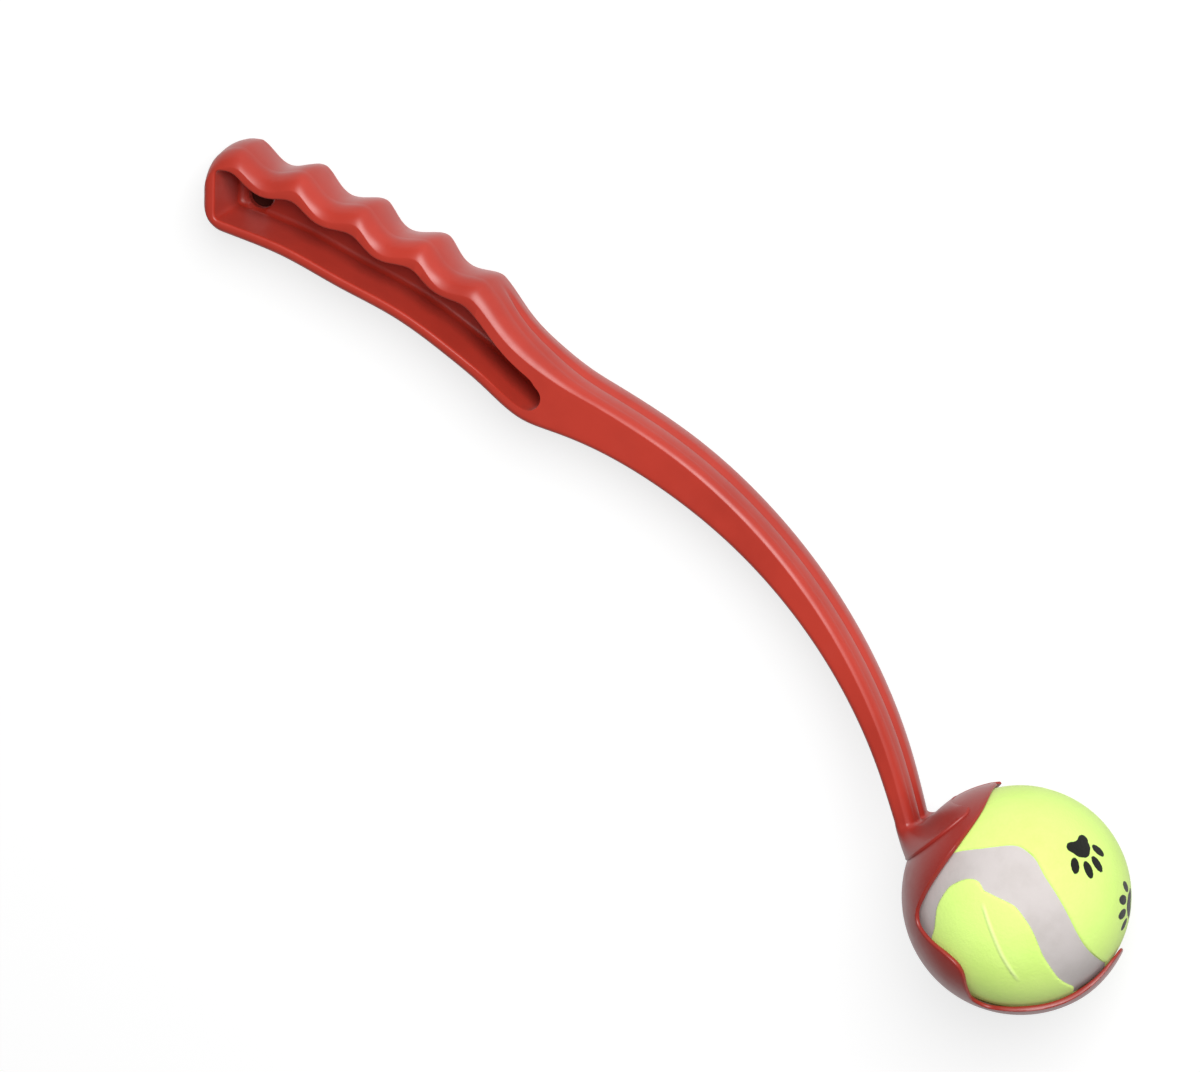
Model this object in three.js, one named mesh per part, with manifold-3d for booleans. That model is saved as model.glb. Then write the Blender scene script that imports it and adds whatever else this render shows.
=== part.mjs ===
// Dog ball thrower: a one-piece moulded launcher (finger-grip handle, curved arm, clawed cup) and the
// felted ball that sits in its cup. Millimetres, +Z up. The thrower lies on its side on the ground,
// with the pocket of its handle upwards, carried by the ball and by the edge of the handle.
import * as THREE from "three";
import { ConvexGeometry } from "three/addons/geometries/ConvexGeometry.js";
import { mergeVertices } from "three/addons/utils/BufferGeometryUtils.js";
import Module from "manifold-3d";

// Ball
const ballDiameter = 64;
const feltThickness = 2.6;
const coreThickness = 3.6;
const seamWidth = 11.5;
const seamRecess = 0.5;
const seamSwing = THREE.MathUtils.degToRad(48.7); // how far it swings from the ball's middle plane
const seamLean = THREE.MathUtils.degToRad(6.5); // how much it bends over at each crossing
const ballTurn = new THREE.Euler(-1.224, -0.9025, -1.387); // how the ball happens to lie in its cup

// Fits
const touchGap = 0.3; // between pieces that touch
const seatClearance = 0.3; // between the ball and its cup
const cutOverrun = 5; // how far a cut runs past the face it opens

// Cup
const cupWall = 2;
const rimCutInnerShare = 0.5; // how far in and out the cut along the rim reaches, of the cup's radius
const rimCutOuterShare = 1.5;
// Half of the rim, from the arm round to the far claw: turn as a share of a half turn, height above
// the ball's centre as a share of the cup's radius. The other half is its mirror image.
const rimShares = [
  [0, 0.385],
  [0.12, 0.355],
  [0.2, 0.25],
  [0.27, 0.03],
  [0.312, -0.31],
  [0.345, -0.55],
  [0.395, -0.6],
  [0.54, -0.42],
  [0.71, -0.68],
  [0.8, -0.62],
  [0.868, -0.35],
  [0.905, 0.03],
  [0.94, 0.36],
  [1, 0.455],
];

// Neck and arm, in the launcher's own plane: x towards the cup, y along the cup's axis
const neckAngle = THREE.MathUtils.degToRad(29); // below the middle of the cup
const armEndSlope = THREE.MathUtils.degToRad(-29.8);
const armStartSlope = THREE.MathUtils.degToRad(27.4);
const armRadius = 159.8;
const neckDepth = 5.9;
const neckRootLength = 6; // how far the neck runs on into the cup
const armDepth = 14.6;
const armTaperPower = 1.35;
const neckWidth = 15;
const armWidth = 19;
const armEdgeRadius = 2.2;
const armGrooveDepth = 0.9; // between the two lobes along the top of the arm
const armGrooveShares = [0.6, 0.3, 0, -0.3, -0.6]; // points of the groove, of the half width

// Gusset that spreads the neck over the cup
const gussetReach = 8.5; // from the cup back along the neck
const gussetFootShare = 0.82; // where its foot circle lies, of the cup's radius
const gussetTopAngle = THREE.MathUtils.degToRad(32);
const gussetLowAngle = THREE.MathUtils.degToRad(-68);

// Waist between the arm and the grips: places between the arm's first section and the last crest,
// as shares of the way along and across, for the upper and the lower edge
const waistLength = 46.6;
const waistSlope = THREE.MathUtils.degToRad(9.8);
const waistUpperShares = [
  [0.28, -0.07],
  [0.57, 0.15],
  [0.8, 0.52],
];
const waistLowerShares = [
  [0.313, 0.194],
  [0.63, 0.387],
  [0.8, 0.663],
];

// Handle
const gripCount = 5;
const gripPitch = 21;
const gripDepth = 4.3;
const gripSkewPower = 0.93; // sets each hollow nearer to the crest on its butt side
const gripScoopPower = 1.4; // narrows the crests and widens the hollows
const gripEndSlope = THREE.MathUtils.degToRad(17.7);
const gripTurn = THREE.MathUtils.degToRad(5.1); // between one crest and the next
const handleDepth = 24; // at the last crest
const handleAddedDepth = 0.4; // from each crest to the next, towards the butt
const handleWidth = 21.5;
const handleEdgeRadius = 2.4;
const buttSlant = 4.3;
const buttReach = 11.3; // from the first crest out to the end face
const buttTopRadius = 9.5;
const buttLowRadius = 6;

// Pocket in the upper side of the handle, and the hole to hang it by
const pocketWall = 3.6;
const pocketFloor = 3;
const pocketCrestWall = 1; // extra wall under each crest
const pocketKneeWall = 1.5; // extra wall at the cup end
const pocketEndShare = 0.79; // how far the pocket runs along the waist
const pocketCornerRadius = 1.6;
const pocketKneeRadius = 3.6;
const pocketRoundShare = 0.95;
const hangHoleDiameter = 8;
const hangHoleInset = 3; // from the first crest along the grip line
const hangHoleDrop = 15.5; // below the grip line

// Fineness
const roundSteps = 48;
const quarterSteps = 11;
const rimSteps = 80;
const cornerSteps = 3;
const buttSteps = 6;
const armSpans = 6;
const stepsPerGrip = 8;
const stepsPerSpan = 4;
const seamSteps = 84;
const seamStepsAcross = 3;
const gussetSteps = 8;
const pocketEndSteps = 4;
const feltFineness = 8;
const coreFineness = 6;
const hollowFineness = 4;

const ballRadius = ballDiameter / 2;
const cupInnerRadius = ballRadius + seatClearance;
const cupOuterRadius = cupInnerRadius + cupWall;

const wasm = await Module();
wasm.setup();

// A closed three.js geometry as a solid that can be joined and cut
function solidFrom(geometry) {
  const bare = geometry.clone();
  bare.deleteAttribute("normal");
  bare.deleteAttribute("uv");
  const merged = mergeVertices(bare);
  return new wasm.Manifold(
    new wasm.Mesh({
      numProp: 3,
      vertProperties: merged.attributes.position.array,
      triVerts: new Uint32Array(merged.index.array),
    }),
  );
}

function geometryFrom(solid) {
  const { vertProperties, triVerts, numProp } = solid.getMesh();
  const geometry = new THREE.BufferGeometry();
  const data = new THREE.InterleavedBuffer(vertProperties, numProp);
  geometry.setAttribute("position", new THREE.InterleavedBufferAttribute(data, 3, 0));
  geometry.setIndex(new THREE.BufferAttribute(triVerts, 1));
  const loose = geometry.toNonIndexed();
  loose.computeVertexNormals();
  return loose;
}

// A skin over rings with the same number of points, closed by a fan at each end, or on itself
function skinOver(rings, closedLoop = false) {
  const count = rings[0].length;
  const points = rings.flat();
  const faces = [];
  const spans = closedLoop ? rings.length : rings.length - 1;
  for (let i = 0; i < spans; i++) {
    const here = i * count;
    const next = ((i + 1) % rings.length) * count;
    for (let k = 0; k < count; k++) {
      const k2 = (k + 1) % count;
      faces.push(here + k, next + k, next + k2);
      faces.push(here + k, next + k2, here + k2);
    }
  }
  if (!closedLoop) {
    const first = points.length;
    points.push(middleOf(rings[0]), middleOf(rings[rings.length - 1]));
    const last = (rings.length - 1) * count;
    for (let k = 0; k < count; k++) {
      const k2 = (k + 1) % count;
      faces.push(first, k, k2);
      faces.push(first + 1, last + k2, last + k);
    }
  }
  const geometry = new THREE.BufferGeometry().setFromPoints(points);
  geometry.setIndex(faces);
  return geometry;
}

function middleOf(points) {
  const sum = points.reduce((total, p) => total.add(p), new THREE.Vector3());
  return sum.divideScalar(points.length);
}

function smoothRise(x) {
  return THREE.MathUtils.smoothstep(x, 0, 1);
}

// The point at a distance from another, along a slope in the launcher's plane
function along(point, distance, slope) {
  return new THREE.Vector3(Math.cos(slope), Math.sin(slope), 0).multiplyScalar(distance).add(point);
}

// A pair of edge points, square to the slope, a depth apart about a middle point
function edgePair(middle, depth, slope) {
  const across = slope + Math.PI / 2;
  return { low: along(middle, -depth / 2, across), high: along(middle, depth / 2, across) };
}

// Edge pairs of the whole launcher, from the butt to the cup
const neckPoint = new THREE.Vector3(-Math.cos(neckAngle), -Math.sin(neckAngle), 0).multiplyScalar(
  cupOuterRadius,
);
const armCentre = along(neckPoint, -armRadius, armEndSlope + Math.PI / 2);

function armDepthAt(share) {
  return neckDepth + (armDepth - neckDepth) * (1 - share) ** armTaperPower;
}

const armPairs = Array.from({ length: armSpans + 1 }, (_, i) => {
  const share = i / armSpans;
  const slope = THREE.MathUtils.lerp(armStartSlope, armEndSlope, share);
  return edgePair(along(armCentre, armRadius, slope + Math.PI / 2), armDepthAt(share), slope);
});
const rootPair = edgePair(along(neckPoint, neckRootLength, armEndSlope), neckDepth, armEndSlope);

// The crests turn steadily towards the butt, but those in the middle stand in one line, so that the
// thrower lies still on them
const gripPairs = [];
const middleSpan = gripCount / 2 - 1;
let crest = along(armPairs[0].high, -waistLength, waistSlope);
for (let i = 0; i < gripCount; i++) {
  const depth = handleDepth + i * handleAddedDepth;
  const across = gripEndSlope + i * gripTurn + Math.PI / 2;
  gripPairs.unshift({ low: along(crest, -depth, across), high: crest });
  const turns = Math.abs(i - middleSpan) < 1 ? middleSpan : i;
  crest = along(crest, -gripPitch, gripEndSlope + turns * gripTurn);
}
const buttSlope = gripEndSlope + (gripCount - 1) * gripTurn;
const restCrest = Math.floor(middleSpan); // the first of the crests that it lies on
gripPairs[0].low = along(gripPairs[0].low, buttSlant, buttSlope);

const lastGrip = gripPairs[gripCount - 1];

function between(start, end, [alongShare, acrossShare]) {
  return new THREE.Vector3(
    THREE.MathUtils.lerp(start.x, end.x, alongShare),
    THREE.MathUtils.lerp(start.y, end.y, acrossShare),
    0,
  );
}

const waistPairs = waistUpperShares.map((share, i) => ({
  low: between(lastGrip.low, armPairs[0].low, waistLowerShares[i]),
  high: between(lastGrip.high, armPairs[0].high, share),
}));
const pairs = [...gripPairs, ...waistPairs, ...armPairs, rootPair];
const lowerEdge = new THREE.CatmullRomCurve3(pairs.map((p) => p.low));
const upperEdge = new THREE.CatmullRomCurve3(pairs.map((p) => p.high));
const gripSpans = gripCount - 1;
const armStart = gripSpans + waistPairs.length + 1;
const spanCount = pairs.length - 1;

// How deep a finger hollow is at a place counted in spans, as a share of its full depth
function hollowShare(place) {
  if (place < 0 || place >= gripSpans) return 0;
  const phase = (place % 1) ** gripSkewPower;
  return Math.sin(Math.PI * phase) ** gripScoopPower;
}

// The launcher's section at a place counted in spans from the butt, before any rounding
function sectionAt(place) {
  const low = lowerEdge.getPoint(place / spanCount);
  const high = upperEdge.getPoint(place / spanCount);
  const up = high.clone().sub(low).normalize();
  const armShare = smoothRise((place - gripSpans) / (armStart - gripSpans));
  const neckShare = THREE.MathUtils.clamp((place - armStart) / armSpans, 0, 1);
  const barWidth = THREE.MathUtils.lerp(armWidth, neckWidth, neckShare);
  return {
    low,
    high: high.addScaledVector(up, -gripDepth * hollowShare(place)),
    up,
    halfWidth: THREE.MathUtils.lerp(handleWidth, barWidth, armShare) / 2,
    edgeRadius: THREE.MathUtils.lerp(handleEdgeRadius, armEdgeRadius, armShare),
    grooveDepth: armGrooveDepth * armShare,
  };
}

// One ring of the launcher: a bar with rounded edges and two lobes along its top
function barRing({ low, high, up, halfWidth, edgeRadius, grooveDepth }) {
  const depth = high.distanceTo(low);
  const radius = Math.min(edgeRadius, depth / 3, halfWidth / 2);
  const flat = halfWidth - radius;
  const ring = [];
  const place = (side, rise) => {
    ring.push(low.clone().addScaledVector(up, rise).add(new THREE.Vector3(0, 0, side)));
  };
  const corner = (side, rise, from) => {
    for (let i = 0; i <= cornerSteps; i++) {
      const angle = from + (i / cornerSteps) * (Math.PI / 2);
      place(side + radius * Math.cos(angle), rise + radius * Math.sin(angle));
    }
  };
  corner(flat, radius, -Math.PI / 2);
  corner(flat, depth - radius, 0);
  for (const share of armGrooveShares) {
    const groove = (grooveDepth * (1 + Math.cos(Math.PI * share))) / 2;
    place(flat * share, depth - groove);
  }
  corner(-flat, depth - radius, Math.PI / 2);
  corner(-flat, radius, Math.PI);
  return ring;
}

// Places along the launcher, closer together over the grips
const places = [];
for (let i = 0; i < gripSpans * stepsPerGrip; i++) places.push(i / stepsPerGrip);
for (let i = 0; i <= (spanCount - gripSpans) * stepsPerSpan; i++) {
  places.push(gripSpans + i / stepsPerSpan);
}

// A section of the butt, outwards of the first section
function buttSection(out) {
  const first = sectionAt(0);
  const outwards = first.up.clone().cross(new THREE.Vector3(0, 0, -1)).normalize();
  return {
    ...first,
    low: first.low.clone().addScaledVector(outwards, out),
    high: first.high.clone().addScaledVector(outwards, out),
  };
}

// How far a corner of the butt has drawn in at a distance outwards
function cornerDraw(out, radius) {
  const past = THREE.MathUtils.clamp(out - (buttReach - radius), 0, radius);
  return radius - Math.sqrt(radius ** 2 - past ** 2);
}

// The butt is rounded off by sections that draw in as they go out
function buttRings() {
  const rings = [];
  for (let i = buttSteps; i > 0; i--) {
    const out = buttReach * Math.sin((i / buttSteps) * (Math.PI / 2));
    const section = buttSection(out);
    section.low.addScaledVector(section.up, cornerDraw(out, buttLowRadius));
    section.high.addScaledVector(section.up, -cornerDraw(out, buttTopRadius));
    section.halfWidth -= cornerDraw(out, handleEdgeRadius);
    rings.push(barRing(section));
  }
  return rings;
}

const barRings = places.map((p) => barRing(sectionAt(p)));
const bar = solidFrom(skinOver([...buttRings(), ...barRings]));

// A section at a place of the pocket, which begins before the first section, in the butt
function pocketSection(place) {
  return place < 0 ? buttSection(-place * gripPitch) : sectionAt(place);
}

// The pocket follows the handle's edges inside its walls
function pocketRing(place, inset) {
  const section = pocketSection(place);
  const kneeShare = smoothRise((place - gripSpans) / (waistPairs.length * pocketEndShare));
  const crestWall = pocketCrestWall * (1 - hollowShare(place));
  const roof = pocketWall + crestWall + pocketKneeWall * kneeShare;
  const low = section.low.clone().addScaledVector(section.up, pocketWall + inset);
  const high = section.high.clone().addScaledVector(section.up, -roof - inset);
  const floor = pocketFloor - section.halfWidth;
  const top = section.halfWidth + cutOverrun;
  return [
    low.clone().setZ(floor),
    low.clone().setZ(top),
    high.clone().setZ(top),
    high.clone().setZ(floor),
  ];
}

// Places and insets that round one end of the pocket, from the end inwards
function roundedEnd(endPlace, radius, inwards) {
  const inside = endPlace + inwards / stepsPerSpan;
  const run = pocketSection(endPlace).low.distanceTo(pocketSection(inside).low) * stepsPerSpan;
  return Array.from({ length: pocketEndSteps }, (_, i) => {
    const angle = (i / pocketEndSteps) * (Math.PI / 2);
    const place = endPlace + (inwards * radius * (1 - Math.cos(angle))) / run;
    return [place, radius * (1 - Math.sin(angle)) * pocketRoundShare];
  });
}

function makePocket() {
  const start = (pocketWall - buttReach) / gripPitch;
  const end = gripSpans + waistPairs.length * pocketEndShare;
  const firstEnd = roundedEnd(start, pocketCornerRadius, 1);
  const lastEnd = roundedEnd(end, pocketKneeRadius, -1).reverse();
  const from = start + (2 * pocketCornerRadius) / gripPitch;
  const to = end - (2 * pocketKneeRadius) / gripPitch;
  const straight = places.filter((place) => place > from && place < to).map((place) => [place, 0]);
  const rings = [...firstEnd, ...straight, ...lastEnd].map(([p, inset]) => pocketRing(p, inset));
  return solidFrom(skinOver(rings));
}

function makeHangHole() {
  const radius = hangHoleDiameter / 2;
  const hole = new THREE.CylinderGeometry(radius, radius, handleWidth, roundSteps / 2);
  hole.rotateX(Math.PI / 2);
  const place = along(gripPairs[0].high, hangHoleInset, buttSlope);
  place.copy(along(place, -hangHoleDrop, buttSlope + Math.PI / 2)).setZ(-handleWidth / 2);
  return solidFrom(hole.translate(place.x, place.y, place.z));
}

// The cup: a bowl whose claws stand straight above the ball's middle, so that the ball can leave
function bowl(radius, top) {
  const profile = [];
  for (let i = 0; i <= quarterSteps; i++) {
    const angle = (i / quarterSteps) * (Math.PI / 2);
    profile.push(new THREE.Vector2(radius * Math.sin(angle), -radius * Math.cos(angle)));
  }
  profile[0].x = 0;
  profile.push(new THREE.Vector2(radius, top), new THREE.Vector2(0, top));
  return solidFrom(new THREE.LatheGeometry(profile, roundSteps));
}

// A ring whose underside follows the rim, to cut the bowl down to its claws
function makeRimCutter(top) {
  const corners = rimShares.map(([turn, rise]) => new THREE.Vector3(turn, rise, 0));
  const oneSide = new THREE.CatmullRomCurve3(corners).getPoints(rimSteps / 2);
  const otherSide = oneSide.slice(1, -1).reverse().map((p) => new THREE.Vector3(-p.x, p.y, 0));
  const rings = [...oneSide, ...otherSide].map(({ x: turn, y: riseShare }) => {
    const angle = Math.PI + turn * Math.PI;
    const reach = riseShare < 0 ? Math.sqrt(1 - riseShare ** 2) : 1;
    const rim = new THREE.Vector3(reach * Math.cos(angle), riseShare, reach * Math.sin(angle));
    const inner = rim.clone().multiplyScalar(cupInnerRadius * rimCutInnerShare);
    const outer = rim.clone().multiplyScalar(cupOuterRadius * rimCutOuterShare);
    return [inner, inner.clone().setY(top), outer.clone().setY(top), outer];
  });
  return solidFrom(skinOver(rings, true));
}

// The gusset: the neck's section joined to an arc of a circle on the cup, on both sides
function makeGusset() {
  const inset = armEdgeRadius / 2;
  const middle = along(neckPoint, -gussetReach, armEndSlope);
  const section = edgePair(middle, neckDepth - 2 * inset, armEndSlope);
  const points = [];
  const foot = cupOuterRadius * gussetFootShare;
  const footRadius = Math.sqrt(cupOuterRadius ** 2 - foot ** 2);
  for (const side of [-1, 1]) {
    const halfWidth = side * (neckWidth / 2 - inset);
    points.push(section.low.clone().setZ(halfWidth), section.high.clone().setZ(halfWidth));
    for (let i = 0; i <= gussetSteps; i++) {
      const angle = THREE.MathUtils.lerp(gussetLowAngle, gussetTopAngle, i / gussetSteps);
      points.push(
        new THREE.Vector3(-foot, footRadius * Math.sin(angle), side * footRadius * Math.cos(angle)),
      );
    }
  }
  return solidFrom(new ConvexGeometry(points));
}

function makeLauncher() {
  const top = cupOuterRadius;
  const shell = bowl(cupOuterRadius, top - cutOverrun).subtract(makeRimCutter(top));
  const ballRoom = bowl(cupInnerRadius, top);
  return bar
    .add(makeGusset())
    .add(shell)
    .subtract(ballRoom)
    .subtract(makePocket())
    .subtract(makeHangHole());
}

// The ball: two rubber half shells, two felt panels and the seam band between them
function sphere(radius, fineness) {
  return solidFrom(new THREE.IcosahedronGeometry(radius, fineness));
}

// A point of the seam's middle line on a unit sphere
function seamPoint(turn) {
  const rise = seamSwing * Math.cos(2 * turn);
  const round = turn + seamLean * Math.sin(4 * turn);
  const reach = Math.cos(rise);
  return new THREE.Vector3(reach * Math.cos(round), reach * Math.sin(round), Math.sin(rise));
}

// The seam's middle line and the way across it
function seamAt(turn) {
  const here = seamPoint(turn);
  const step = Math.PI / seamSteps;
  const ahead = seamPoint(turn + step).sub(seamPoint(turn - step));
  return { here, across: here.clone().cross(ahead).normalize() };
}

function seamRing(turn, width, outer, inner) {
  const { here, across } = seamAt(turn);
  const halfAngle = width / 2 / ballRadius;
  const at = (share, radius) =>
    here
      .clone()
      .multiplyScalar(Math.cos(halfAngle * share))
      .addScaledVector(across, Math.sin(halfAngle * share))
      .multiplyScalar(radius);
  const shares = [];
  for (let i = 0; i <= seamStepsAcross; i++) shares.push(-1 + (2 * i) / seamStepsAcross);
  return [...shares.map((s) => at(s, outer)), ...shares.reverse().map((s) => at(s, inner))];
}

function makeSeam(width, outer, inner) {
  const rings = [];
  for (let i = 0; i < seamSteps; i++) {
    rings.push(seamRing((i / seamSteps) * 2 * Math.PI, width, outer, inner));
  }
  return solidFrom(skinOver(rings, true));
}

const feltInnerRadius = ballRadius - feltThickness;
const coreRadius = feltInnerRadius - touchGap;
const coreInnerRadius = coreRadius - coreThickness;

function makeFeltPanels() {
  const cutWidth = seamWidth + 2 * touchGap;
  const cutter = makeSeam(cutWidth, ballRadius + cutOverrun, feltInnerRadius - cutOverrun);
  const felt = sphere(ballRadius, feltFineness).subtract(sphere(feltInnerRadius, coreFineness));
  return felt.subtract(cutter).decompose();
}

function makeCoreHalf(side) {
  const size = 2 * coreRadius + 2 * cutOverrun;
  const block = new THREE.BoxGeometry(size, size, size);
  block.translate(0, 0, side * (size / 2 + touchGap / 2));
  const core = sphere(coreRadius, coreFineness).subtract(sphere(coreInnerRadius, hollowFineness));
  return core.intersect(solidFrom(block));
}

const plasticRed = { color: "#c23a2b", roughness: 0.35, metalness: 0 };
const feltYellow = { color: "#dcf57a", roughness: 1, metalness: 0 };
const seamGrey = { color: "#cdc8c0", roughness: 0.8, metalness: 0 };
const rubberBlack = { color: "#3c3b39", roughness: 0.9, metalness: 0 };

function part(name, solid, finish) {
  const mesh = new THREE.Mesh(geometryFrom(solid), new THREE.MeshStandardMaterial(finish));
  mesh.name = name;
  return mesh;
}

const ball = new THREE.Group();
ball.rotation.copy(ballTurn);
ball.add(part("rubber_core_a", makeCoreHalf(-1), rubberBlack));
ball.add(part("rubber_core_b", makeCoreHalf(1), rubberBlack));
makeFeltPanels().forEach((panel, i) => ball.add(part("felt_panel_" + "ab"[i], panel, feltYellow)));
ball.add(part("seam_band", makeSeam(seamWidth, ballRadius - seamRecess, feltInnerRadius), seamGrey));

// The turn that lays the thrower down on its ball and on the rounded edges of its middle crests
function restTurn() {
  const first = gripPairs[restCrest].high;
  const second = gripPairs[gripCount - 1 - restCrest].high;
  const line = second.clone().sub(first).normalize();
  const outwards = new THREE.Vector3(-line.y, line.x, 0);
  const reach = first.dot(outwards) - handleEdgeRadius;
  const drop = handleWidth / 2 - handleEdgeRadius;
  const steepest = Math.asin((ballRadius - handleEdgeRadius) / Math.hypot(reach, drop));
  const tilt = steepest - Math.atan2(drop, reach);
  const down = outwards.multiplyScalar(Math.sin(tilt)).setZ(-Math.cos(tilt));
  return new THREE.Quaternion().setFromUnitVectors(down, new THREE.Vector3(0, 0, -1));
}

const lying = new THREE.Group();
lying.quaternion.copy(restTurn());
lying.add(part("launcher", makeLauncher(), plasticRed));
lying.add(ball);

const thrower = new THREE.Group();
thrower.add(lying);
thrower.updateMatrixWorld(true);
const extent = new THREE.Box3().setFromObject(thrower, true);
const middle = extent.getCenter(new THREE.Vector3());
lying.position.set(-middle.x, -middle.y, -extent.min.z);

export default thrower;
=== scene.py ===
import math
import random

import bmesh
import bpy
import numpy as np
from mathutils import Matrix, Vector


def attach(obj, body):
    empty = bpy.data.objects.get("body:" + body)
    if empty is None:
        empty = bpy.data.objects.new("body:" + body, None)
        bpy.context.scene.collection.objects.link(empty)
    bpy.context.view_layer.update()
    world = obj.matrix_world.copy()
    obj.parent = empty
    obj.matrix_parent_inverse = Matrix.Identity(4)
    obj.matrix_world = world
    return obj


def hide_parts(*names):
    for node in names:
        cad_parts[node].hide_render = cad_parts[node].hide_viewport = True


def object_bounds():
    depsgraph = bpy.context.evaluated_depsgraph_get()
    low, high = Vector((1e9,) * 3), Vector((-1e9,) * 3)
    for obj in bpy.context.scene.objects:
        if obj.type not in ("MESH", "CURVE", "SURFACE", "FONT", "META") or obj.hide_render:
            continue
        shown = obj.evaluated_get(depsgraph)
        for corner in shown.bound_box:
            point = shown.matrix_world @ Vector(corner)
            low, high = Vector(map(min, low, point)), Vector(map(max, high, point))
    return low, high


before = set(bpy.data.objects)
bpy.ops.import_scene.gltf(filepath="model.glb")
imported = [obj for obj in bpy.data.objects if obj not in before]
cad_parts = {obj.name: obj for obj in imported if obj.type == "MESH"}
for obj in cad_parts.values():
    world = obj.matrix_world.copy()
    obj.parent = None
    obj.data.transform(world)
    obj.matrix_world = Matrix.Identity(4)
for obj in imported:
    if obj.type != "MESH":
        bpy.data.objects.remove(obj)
cadBox = [list(corner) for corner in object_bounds()]
print("frame loaded")

# The launcher's own plane has its x towards the cup and its y along the cup's axis, with the
# middle of the ball at its origin. This is how that plane lies on the ground.
lie = {
    "ballMiddle": (0.138422, 0.022846, 0.031937),
    "pocketSide": (-0.106627, 0.225063, 0.968492),
}
lieTurn = np.array(Vector((0, 0, 1)).rotation_difference(Vector(lie["pocketSide"])).to_matrix())
ballMiddle = np.array(lie["ballMiddle"])


def toGround(points):
    # millimetres in the launcher's plane to metres in the frame
    return np.asarray(points, float) / 1000 @ lieTurn.T + ballMiddle


def turned(direction):
    return lieTurn @ np.asarray(direction, float)


# Mesh helpers

def makeObject(name, points, faces):
    mesh = bpy.data.meshes.new(name)
    mesh.from_pydata([tuple(p) for p in points], [], [tuple(map(int, f)) for f in faces])
    mesh.update()
    thing = bpy.data.objects.new(name, mesh)
    bpy.context.scene.collection.objects.link(thing)
    return thing


def pointOutwards(thing):
    work = bmesh.new()
    work.from_mesh(thing.data)
    bmesh.ops.remove_doubles(work, verts=work.verts, dist=1e-7)
    bmesh.ops.recalc_face_normals(work, faces=work.faces)
    if work.calc_volume(signed=True) < 0:
        bmesh.ops.reverse_faces(work, faces=work.faces)
    work.to_mesh(thing.data)
    work.free()


def shadeSmooth(thing, sharpAngle):
    for polygon in thing.data.polygons:
        polygon.use_smooth = True
    thing.data.set_sharp_from_angle(angle=math.radians(sharpAngle))


def tubeFaces(ringCount, ringSize, closedLoop=False):
    faces = []
    for i in range(ringCount if closedLoop else ringCount - 1):
        here, ahead = i * ringSize, (i + 1) % ringCount * ringSize
        for k in range(ringSize):
            k2 = (k + 1) % ringSize
            faces.append((here + k, ahead + k, ahead + k2, here + k2))
    return faces


def tube(name, rings, flatEnds=False):
    # a skin over rings, with a fan at each end, or one flat face
    rings = [np.asarray(r, float) for r in rings]
    size = len(rings[0])
    points = np.vstack(rings)
    faces = tubeFaces(len(rings), size)
    last = (len(rings) - 1) * size
    if flatEnds:
        faces += [tuple(range(size)), tuple(range(last + size - 1, last - 1, -1))]
    else:
        first = len(points)
        points = np.vstack([points, rings[0].mean(0), rings[-1].mean(0)])
        for k in range(size):
            k2 = (k + 1) % size
            faces.append((first, k, k2))
            faces.append((first + 1, last + k2, last + k))
    thing = makeObject(name, toGround(points), faces)
    pointOutwards(thing)
    return thing


def cutOrJoin(thing, other, operation):
    step = thing.modifiers.new("cutOrJoin", "BOOLEAN")
    step.operation = operation
    step.solver = "EXACT"
    step.object = other
    bpy.context.view_layer.update()
    graph = bpy.context.evaluated_depsgraph_get()
    made = bpy.data.meshes.new_from_object(thing.evaluated_get(graph))
    thing.modifiers.clear()
    thing.data = made
    bpy.data.objects.remove(other)


def smoothStep(x):
    x = np.clip(x, 0, 1)
    return x * x * (3 - 2 * x)


def between(start, end, share):
    return start + (end - start) * share


class SmoothLine:
    # a curve with even curvature through points, with a place counted in points
    def __init__(self, points):
        self.points = np.asarray(points, float)
        steps = np.linalg.norm(np.diff(self.points, axis=0), axis=1)
        self.knots = np.concatenate([[0], np.cumsum(steps)])
        count = len(self.points)
        grid, right = np.eye(count), np.zeros_like(self.points)
        for i in range(1, count - 1):
            grid[i, i - 1], grid[i, i + 1] = steps[i - 1], steps[i]
            grid[i, i] = 2 * (steps[i - 1] + steps[i])
            after = (self.points[i + 1] - self.points[i]) / steps[i]
            before = (self.points[i] - self.points[i - 1]) / steps[i - 1]
            right[i] = 6 * (after - before)
        self.bends = np.linalg.solve(grid, right)

    def at(self, place):
        i = int(min(max(math.floor(place), 0), len(self.points) - 2))
        step = self.knots[i + 1] - self.knots[i]
        b = (place - i) * step
        a = step - b
        bend = self.bends[i] * a**3 + self.bends[i + 1] * b**3
        ends = (self.points[i] / step - self.bends[i] * step / 6) * a
        ends = ends + (self.points[i + 1] / step - self.bends[i + 1] * step / 6) * b
        return bend / (6 * step) + ends


# Launcher: one moulding, in millimetres and degrees

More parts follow.
